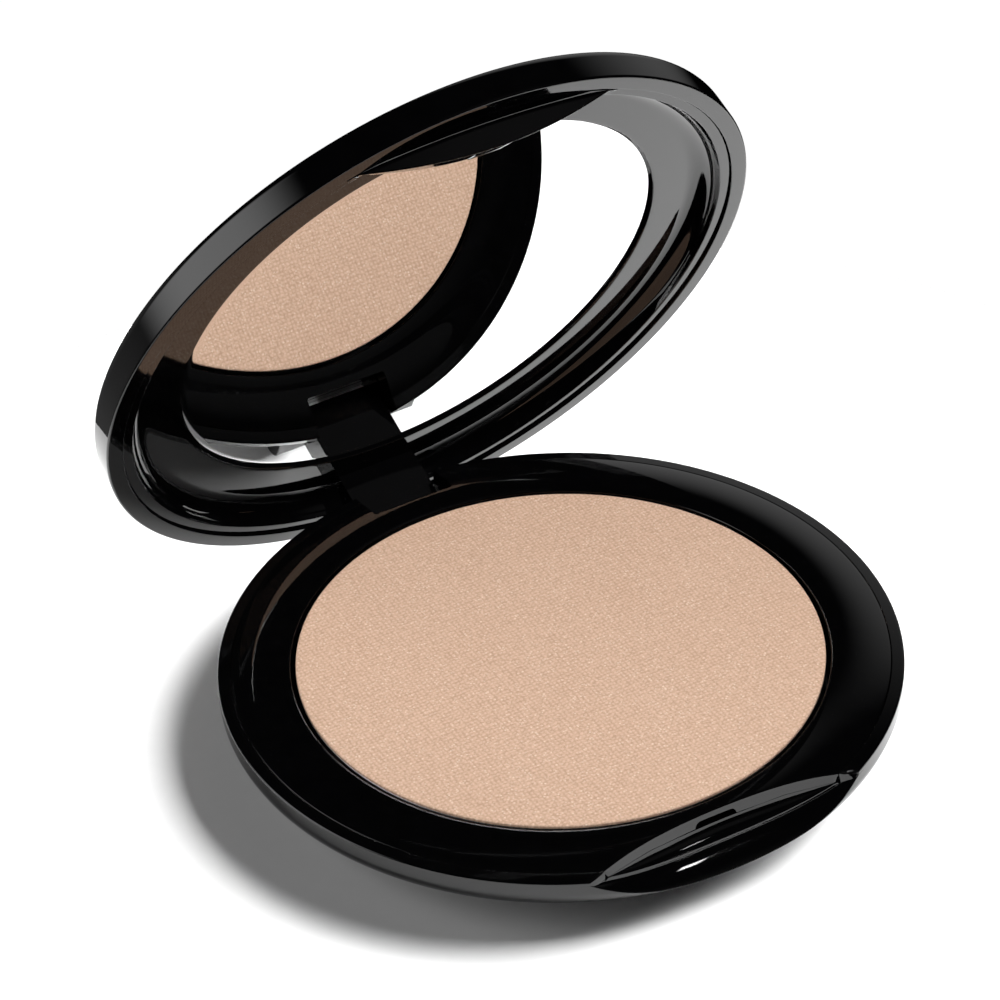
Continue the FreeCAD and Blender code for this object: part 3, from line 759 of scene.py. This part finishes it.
def mirror_frame_section(angle, with_tab):
    """The inner moulding of the lid, from the middle of the mirror's seat outwards."""
    cup = MIRROR_FACE + MIRROR_THICK + 0.15
    inner = FRAME_RADIUS
    if with_tab:
        inner = bowed_radius(TAB_INNER, NOTCH_BOW, angle, FRAME_RADIUS)
    points = [(0, cup), (BEZEL_BORE, cup)]
    points += softened((BEZEL_BORE, cup), (BEZEL_BORE, BEZEL_FACE), (BEZEL_FLAT, BEZEL_FACE), 0.12)
    bowl = clipped(cove_line(), min(inner, BEZEL_RIM), 26)
    points += bowl[1:]
    last = bowl[-1]
    if inner > BEZEL_RIM:
        edge = min(0.15, 0.3 * (inner - BEZEL_RIM))
        points += softened_between(last, (BEZEL_RIM, BEZEL_STEP), (BEZEL_RIM + edge, BEZEL_STEP))
        last = (inner, BEZEL_STEP)
        points.append(last)
    else:
        points += [last] * 6
    outer_low = (FRAME_RADIUS, 0.0)
    if with_tab:
        points += tab_section(angle, inner, last)
        points += straight(outer_low, (FRAME_RADIUS, BEZEL_STEP), 6)
    else:
        points += [(FRAME_RADIUS, BEZEL_STEP)] * TAB_POINTS
        points += [(FRAME_RADIUS, BEZEL_STEP)] * 6
    cup_side = BEZEL_BORE + CUP_WALL
    points += [(FRAME_RADIUS, BEZEL_STEP), (FRAME_RADIUS, BORE_HEIGHT), (36.85, FRAME_BACK - 0.75),
               (BEZEL_FLAT, FRAME_BACK), (cup_side, FRAME_BACK),
               (cup_side, cup + CUP_FLOOR), (0, cup + CUP_FLOOR)]
    return [(r, EDGE + height) for r, height in points]


# how many points tab_section() makes, so that sections without a tab can have as many
TAB_POINTS = 6 + 1 + 5 + 8 + 9 + 6


def tab_section(angle, inner, start):
    """From the bezel up the tab's inner face, round its lower edge and out to the frame."""
    depth = tab_depth(angle)
    room = FRAME_RADIUS - inner
    root = min(tab_root(angle), FRAME_RADIUS)
    share = depth / TAB_DEPTH
    toe = (max(root - (TAB_ROOT - TAB_TOE) * share, inner), -depth)
    inner_low = (inner, min(TAB_UNDERCUT * (toe[0] - inner) - depth, start[1]))
    fillet = min(0.55, 0.35 * room, 0.8 * depth)
    bend = min(0.12, 0.25 * depth)
    foot = (root, 0.0)
    toe_before = toward_point(toe, inner_low, bend)
    toe_after = toward_point(toe, foot, bend)
    face_end = toward_point(foot, toe, fillet)
    out = (min(root + fillet, FRAME_RADIUS), 0.0)
    points = straight(start, inner_low, 6) + [inner_low]
    points += softened_between(toe_before, toe, toe_after)
    points += straight(toe_after, face_end, 9)[1:]
    points += softened_between(face_end, foot, out, 8)
    points += straight(out, (FRAME_RADIUS, 0.0), 6)
    return points


def arm_tool():
    """The arm between the bezel and the pin, with a barrel round the pin."""
    front = HINGE_Y - BARREL
    back = FRAME_RADIUS - 0.65
    top = EDGE + 3.6
    outline = arc((front, HINGE_Z), (HINGE_Y, HINGE_Z - BARREL), BARREL, True, 8)
    outline += arc((HINGE_Y, HINGE_Z - BARREL), (HINGE_Y + BARREL, HINGE_Z), BARREL, True, 8)
    outline += [(HINGE_Y + BARREL, HINGE_Z), (back, EDGE + BEZEL_STEP + 0.2),
                (back, EDGE + BORE_HEIGHT), (BEZEL_FLAT + 0.6, top), (front, top)]
    return soft_ended(prism(outline, -ARM_HALF, ARM_HALF, "X"), ARM_HALF, 0.22)


def catch_nib():
    """The nib that snaps into the slot, on the inside of the tab."""
    outline = [
        (-NIB_HALF, -TAB_INNER - NIB_ROOT), (NIB_HALF, -TAB_INNER - NIB_ROOT),
        (NIB_HALF - NIB_REACH, -TAB_INNER + NIB_REACH),
        (NIB_REACH - NIB_HALF, -TAB_INNER + NIB_REACH),
    ]
    low = SLOT_MIDDLE + NIB_LOW
    return prism(outline, low, low + NIB_HEIGHT)


def make_mirror_frame(material):
    body = spun_round(mirror_frame_section, stations(TAB_PAD_END), False)
    piece = finish_mesh("mirror_frame_body", body, material)
    combine(piece, arm_tool(), "UNION")
    combine(piece, catch_nib(), "UNION")
    opened(piece)
    return piece


def make_mirror(material):
    """Round mirror glass with a ground bevel round its face."""
    face = EDGE + MIRROR_FACE
    back = face + MIRROR_THICK
    outline = [(0, back), (MIRROR, back), (MIRROR, face + MIRROR_BEVEL_DEEP),
               (MIRROR - MIRROR_BEVEL, face), (0, face)]
    piece = finish_mesh("mirror_glass", lathe(outline), material, crease=20.0)
    opened(piece)
    return piece


# ---------------------------------------------------------------- materials


class Graph:
    """A material's node tree, with places on the object in millimetres as its coordinates."""

    def __init__(self, name):
        self.material = bpy.data.materials.new(name)
        self.material.use_nodes = True
        self.tree = self.material.node_tree
        self.shader = self.tree.nodes["Principled BSDF"]
        place = self.tree.nodes.new("ShaderNodeTexCoord").outputs["Object"]
        self.place = self.add("ShaderNodeVectorMath", {0: place, "Scale": 1 / MM}, "Vector",
                              operation="SCALE")

    def add(self, kind, sockets, output, **settings):
        """Adds a node, sets or links its inputs, and returns one of its outputs."""
        node = self.tree.nodes.new(kind)
        for name, value in settings.items():
            setattr(node, name, value)
        for name, value in sockets.items():
            self.feed(node.inputs[name], value)
        return node.outputs[output]

    def feed(self, socket, value):
        if isinstance(value, bpy.types.NodeSocket):
            self.tree.links.new(value, socket)
        else:
            socket.default_value = value

    def set(self, **inputs):
        """Sets or links inputs of the surface shader; Base_Color stands for "Base Color"."""
        for name, value in inputs.items():
            self.feed(self.shader.inputs[name.replace("_", " ")], value)

    def noise(self, scale, detail=2.0, place=None, roughness=0.5):
        """Cloudy noise, 0 to 1, with so many features to a millimetre."""
        sockets = {"Vector": place or self.place, "Scale": scale, "Detail": detail,
                   "Roughness": roughness}
        return self.add("ShaderNodeTexNoise", sockets, "Fac")

    def stretched(self, x, y, z):
        """The coordinates squeezed by a factor each way, for streaks."""
        return self.add("ShaderNodeVectorMath", {0: self.place, 1: (x, y, z)}, "Vector",
                        operation="MULTIPLY")

    def ranged(self, value, low, high, to_low, to_high):
        """value mapped from one range to another and held within it."""
        sockets = {"Value": value, "From Min": low, "From Max": high, "To Min": to_low,
                   "To Max": to_high}
        return self.add("ShaderNodeMapRange", sockets, "Result")

    def math(self, operation, a, b):
        return self.add("ShaderNodeMath", {0: a, 1: b}, "Value", operation=operation)

    def mixed(self, share, a, b):
        """A colour between two colours."""
        mix = self.tree.nodes.new("ShaderNodeMix")
        mix.data_type = "RGBA"
        self.feed(mix.inputs["Factor"], share)
        self.feed(mix.inputs[6], a if isinstance(a, bpy.types.NodeSocket) else (*a, 1.0))
        self.feed(mix.inputs[7], b if isinstance(b, bpy.types.NodeSocket) else (*b, 1.0))
        return mix.outputs[2]

    def bumped(self, layers):
        """Stacks bumps: (height, depth in millimetres) pairs, the last on top."""
        normal = None
        for height, depth in layers:
            sockets = {"Height": height, "Distance": depth * MM, "Strength": 1.0}
            if normal is not None:
                sockets["Normal"] = normal
            normal = self.add("ShaderNodeBump", sockets, "Normal")
        self.set(Normal=normal)


def gloss_black():
    """Polished black plastic: nearly black, slightly wavy, with faint dust and hairlines."""
    g = Graph("gloss_black_plastic")
    cloud = g.noise(0.35, 3.0)
    g.set(Base_Color=g.mixed(cloud, (0.0006, 0.0006, 0.0007), (0.0015, 0.0015, 0.0017)))
    hairline = g.noise(1.0, 2.0, g.stretched(0.15, 5.0, 0.15))
    dust = g.noise(7.0, 2.0)
    roughness = g.math("ADD", g.ranged(hairline, 0.45, 0.75, 0.02, 0.055),
                       g.ranged(dust, 0.62, 0.72, 0.0, 0.10))
    g.set(Roughness=roughness, IOR=1.49)
    waves = g.noise(0.55, 1.0)
    g.bumped([(waves, 0.0012), (g.noise(6.0, 2.0), 0.00004)])
    return g.material


def powder():
    """Pressed beige powder: fine grain, a pressed weave and flakes of shimmer."""
    g = Graph("pressed_powder")
    grain = g.noise(3.2, 2.0, roughness=0.7)
    fine = g.noise(9.0, 2.0)
    cloud = g.noise(0.10, 2.0)
    base = g.mixed(g.ranged(cloud, 0.3, 0.7, 0.0, 1.0), (0.668, 0.448, 0.325), (0.690, 0.468, 0.342))
    grained = g.mixed(g.ranged(grain, 0.34, 0.62, 0.62, 0.0), base, (0.46, 0.28, 0.18))
    threads = [
        g.add("ShaderNodeTexWave", {"Vector": g.place, "Scale": 0.62, "Distortion": 3.0,
                                    "Detail": 2.0, "Detail Scale": 2.5}, "Fac",
              bands_direction=direction)
        for direction in ("X", "Y")
    ]
    weave = g.math("MULTIPLY", *threads)
    woven = g.mixed(g.ranged(weave, 0.0, 0.7, 0.0, 0.36), grained, (0.90, 0.67, 0.52))
    flake = {"Vector": g.place, "Scale": 3.4}
    cells = g.add("ShaderNodeTexVoronoi", flake, "Color")
    picked = g.add("ShaderNodeSeparateColor", {"Color": cells}, "Red")
    centre = g.add("ShaderNodeTexVoronoi", flake, "Distance")
    speck = g.math("MULTIPLY", g.ranged(picked, 0.72, 0.95, 0.0, 1.0),
                   g.ranged(centre, 0.20, 0.50, 1.0, 0.0))
    shimmer = g.math("MULTIPLY", speck, 0.60)
    g.set(Base_Color=g.mixed(shimmer, woven, (0.97, 0.82, 0.68)))
    g.set(Roughness=g.ranged(speck, 0.0, 1.0, 0.85, 0.4), Specular_IOR_Level=0.25)
    g.bumped([(weave, 0.012), (grain, 0.05), (fine, 0.02)])
    return g.material


def brushed(name, colour, rough):
    """Bare metal with fine drawn lines."""
    g = Graph(name)
    lines = g.noise(1.0, 3.0, g.stretched(0.3, 9.0, 9.0))
    dark = tuple(0.82 * part for part in colour)
    g.set(Base_Color=g.mixed(lines, dark, colour), Metallic=1.0)
    g.set(Roughness=g.ranged(lines, 0.3, 0.7, rough, rough + 0.15))
    g.bumped([(lines, 0.002)])
    return g.material


def mirror_silver():
    """Silvered glass, clean but for a few faint specks."""
    g = Graph("mirror_silver")
    specks = g.noise(3.0, 2.0)
    g.set(Base_Color=g.mixed(g.ranged(specks, 0.66, 0.74, 0.0, 0.4), (0.93, 0.935, 0.935),
                             (0.80, 0.80, 0.80)), Metallic=1.0)
    g.set(Roughness=g.ranged(specks, 0.64, 0.78, 0.0, 0.05))
    return g.material


def paper():
    """Matt label paper with short fibres."""
    g = Graph("label_paper")
    fibres = g.noise(1.0, 4.0, g.stretched(1.5, 6.0, 1.0))
    g.set(Base_Color=g.mixed(fibres, (0.74, 0.73, 0.70), (0.84, 0.83, 0.80)), Roughness=0.85)
    g.bumped([(fibres, 0.006)])
    return g.material


def adhesive():
    """Grey double-sided adhesive with a foam grain."""
    g = Graph("adhesive_foam")
    foam = g.noise(4.0, 3.0)
    g.set(Base_Color=g.mixed(foam, (0.30, 0.30, 0.31), (0.42, 0.42, 0.43)), Roughness=0.7)
    g.bumped([(foam, 0.02)])
    return g.material


# ---------------------------------------------------------------- studio


def ring(name, inner, outer, material):
    """A flat ring on the ground, in metres."""
    mesh_data = bmesh.new()
    circles = [
        [mesh_data.verts.new((r * math.sin(angle), -r * math.cos(angle), 0))
         for angle in even_angles(128)]
        for r in (inner, outer)
    ]
    near, far = circles
    for number in range(len(near)):
        following = (number + 1) % len(near)
        mesh_data.faces.new((near[number], near[following], far[following], far[number]))
    mesh = bpy.data.meshes.new(name)
    mesh_data.to_mesh(mesh)
    mesh_data.free()
    mesh.materials.append(material)
    piece = bpy.data.objects.new(name, mesh)
    bpy.context.scene.collection.objects.link(piece)
    return piece


def ground():
    """A plain white floor. The gloss of the compact sees only the part close by, as on a small
    white table in a dark room."""
    g = Graph("floor_white")
    paper_grain = g.noise(0.5, 2.0)
    g.set(Base_Color=g.mixed(paper_grain, (0.90, 0.90, 0.90), (0.93, 0.93, 0.93)))
    g.set(Roughness=1.0, Specular_IOR_Level=0.0)
    near = ring("floor_near", 0.001, TABLE, g.material)
    white = bpy.data.materials.new("plain_white")
    white.use_nodes = True
    shader = white.node_tree.nodes["Principled BSDF"]
    shader.inputs["Base Color"].default_value = (0.0, 0.0, 0.0, 1.0)
    shader.inputs["Specular IOR Level"].default_value = 0.0
    shader.inputs["Emission Color"].default_value = (1.0, 1.0, 1.0, 1.0)
    shader.inputs["Emission Strength"].default_value = 1.02
    around = ring("floor_around", TABLE, ROOM, white)
    for piece in (around, backdrop(white)):
        piece.visible_glossy = False
        piece.visible_diffuse = False
        piece.visible_shadow = False
    return near


def backdrop(material):
    """A round white wall far outside everything, which only the camera sees."""
    mesh_data = bmesh.new()
    bmesh.ops.create_cone(mesh_data, segments=96, radius1=ROOM, radius2=ROOM, depth=2 * ROOM,
                          cap_ends=False)
    mesh = bpy.data.meshes.new("backdrop")
    mesh_data.to_mesh(mesh)
    mesh_data.free()
    mesh.materials.append(material)
    piece = bpy.data.objects.new("backdrop", mesh)
    piece.location.z = ROOM * 0.95
    bpy.context.scene.collection.objects.link(piece)
    return piece


def camera():
    """The camera at the photograph's viewing angle, a little rolled."""
    azimuth, elevation, roll = (math.radians(angle) for angle in (-29.04, 36.86, -2.13))
    distance, right_shift, up_shift = 515.0, -6.71, 16.9
    back = Vector((math.sin(azimuth) * math.cos(elevation),
                   -math.cos(azimuth) * math.cos(elevation), math.sin(elevation)))
    level = Vector((math.cos(azimuth), math.sin(azimuth), 0.0))
    upward = back.cross(level)
    right = level * math.cos(roll) + upward * math.sin(roll)
    up = upward * math.cos(roll) - level * math.sin(roll)
    place = back * distance + right * right_shift + up * up_shift + Vector((0, 0, POWDER_TOP))
    data = bpy.data.cameras.new("camera")
    data.sensor_width = 36.0
    data.lens = 166.7
    data.clip_start = 0.01
    eye = bpy.data.objects.new("camera", data)
    frame_axes = Matrix((right, up, back)).transposed().to_4x4()
    eye.matrix_world = Matrix.Translation(place * MM) @ frame_axes
    bpy.context.scene.collection.objects.link(eye)
    bpy.context.scene.camera = eye


def toward(azimuth, elevation):
    """A direction: azimuth 0 is towards the front, 90 towards the right, and so on round."""
    a, e = math.radians(azimuth), math.radians(elevation)
    return Vector((math.sin(a) * math.cos(e), -math.cos(a) * math.cos(e), math.sin(e)))


def lamp(name, azimuth, elevation, size, power, lit, shading, in_gloss=False):
    """A square light a metre away that shines at the origin from a direction. It lights only
    the objects in lit, and only those in shading cast shadows from it."""
    data = bpy.data.lights.new(name, "AREA")
    data.size = size
    data.energy = power
    light = bpy.data.objects.new(name, data)
    direction = toward(azimuth, elevation)
    light.location = direction
    light.rotation_euler = direction.to_track_quat("Z", "Y").to_euler()
    light.visible_glossy = in_gloss
    light.light_linking.receiver_collection = grouped(name + "_lit", lit)
    light.light_linking.blocker_collection = grouped(name + "_shading", shading)
    bpy.context.scene.collection.objects.link(light)


def grouped(name, pieces):
    """A collection of pieces, for a light to be linked to."""
    group = bpy.data.collections.new(name)
    for piece in pieces:
        group.objects.link(piece)
    return group


def surroundings():
    """A dark room with a large soft light to the left, a weaker one at the right behind, and
    next to no light from above, so that the gloss shows them and stays black elsewhere."""
    world = bpy.data.worlds.new("studio")
    bpy.context.scene.world = world
    world.use_nodes = True
    tree = world.node_tree
    direction = tree.nodes.new("ShaderNodeTexCoord").outputs["Generated"]
    total = None
    for azimuth, elevation, reach, strength in ROOM_LIGHTS:
        facing = tree.nodes.new("ShaderNodeVectorMath")
        facing.operation = "DOT_PRODUCT"
        tree.links.new(direction, facing.inputs[0])
        facing.inputs[1].default_value = toward(azimuth, elevation)
        glow = tree.nodes.new("ShaderNodeMapRange")
        glow.interpolation_type = "SMOOTHSTEP"
        glow.inputs["From Min"].default_value = math.cos(math.radians(reach))
        glow.inputs["From Max"].default_value = 1.0
        glow.inputs["To Max"].default_value = strength
        tree.links.new(facing.outputs["Value"], glow.inputs["Value"])
        if total is None:
            total = glow.outputs["Result"]
        else:
            both = tree.nodes.new("ShaderNodeMath")
            both.operation = "ADD"
            tree.links.new(total, both.inputs[0])
            tree.links.new(glow.outputs["Result"], both.inputs[1])
            total = both.outputs["Value"]
    tree.links.new(total, tree.nodes["Background"].inputs[0])


def build():
    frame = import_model()
    black = gloss_black()
    made = {
        "base_shell": (make_base_shell(black), "base", "gloss_black"),
        "base_frame": (make_base_frame(black), "base", "gloss_black"),
        "powder_pan": (make_pan(brushed("pan_aluminium", (0.80, 0.80, 0.81), 0.25)), "base",
                       "pan_metal"),
        "powder_cake": (make_powder(powder()), "base", "powder"),
        "hinge_pin": (make_pin(brushed("pin_steel", (0.62, 0.62, 0.63), 0.2)), "base", "pin_steel"),
        "lid_shell": (make_lid_shell(black), "lid", "gloss_black"),
        "mirror_frame": (make_mirror_frame(black), "lid", "gloss_black"),
        "mirror": (make_mirror(mirror_silver()), "lid", "mirror_glass"),
    }
    for node, (piece, body, slot) in made.items():
        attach(piece, body)
        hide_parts(node)
    glue = adhesive()
    kept = {"pan_adhesive": glue, "mirror_pad": glue, "base_label": paper()}
    for node, material in kept.items():
        frame["nodes"][node].material_slots[0].material = material
    floor = ground()
    surroundings()
    base = [piece for piece, body, _ in made.values() if body == "base"]
    pieces = [piece for piece, _, _ in made.values()] + [frame["nodes"][node] for node in kept]
    lamp("floor_light", 80.0, 42.0, size=0.65, power=32.0, lit=[floor], shading=base)
    lamp("key", 92.0, 60.0, size=0.35, power=6.2, lit=pieces, shading=base)
    lamp("front", -10.0, 55.0, size=0.5, power=4.6, lit=pieces, shading=base)
    shell = [made["base_shell"][0]]
    lamp("spark", 109.5, 62.0, size=0.05, power=0.22, lit=shell, shading=base, in_gloss=True)
    camera()
    bpy.context.scene.view_settings.view_transform = "Standard"


build()
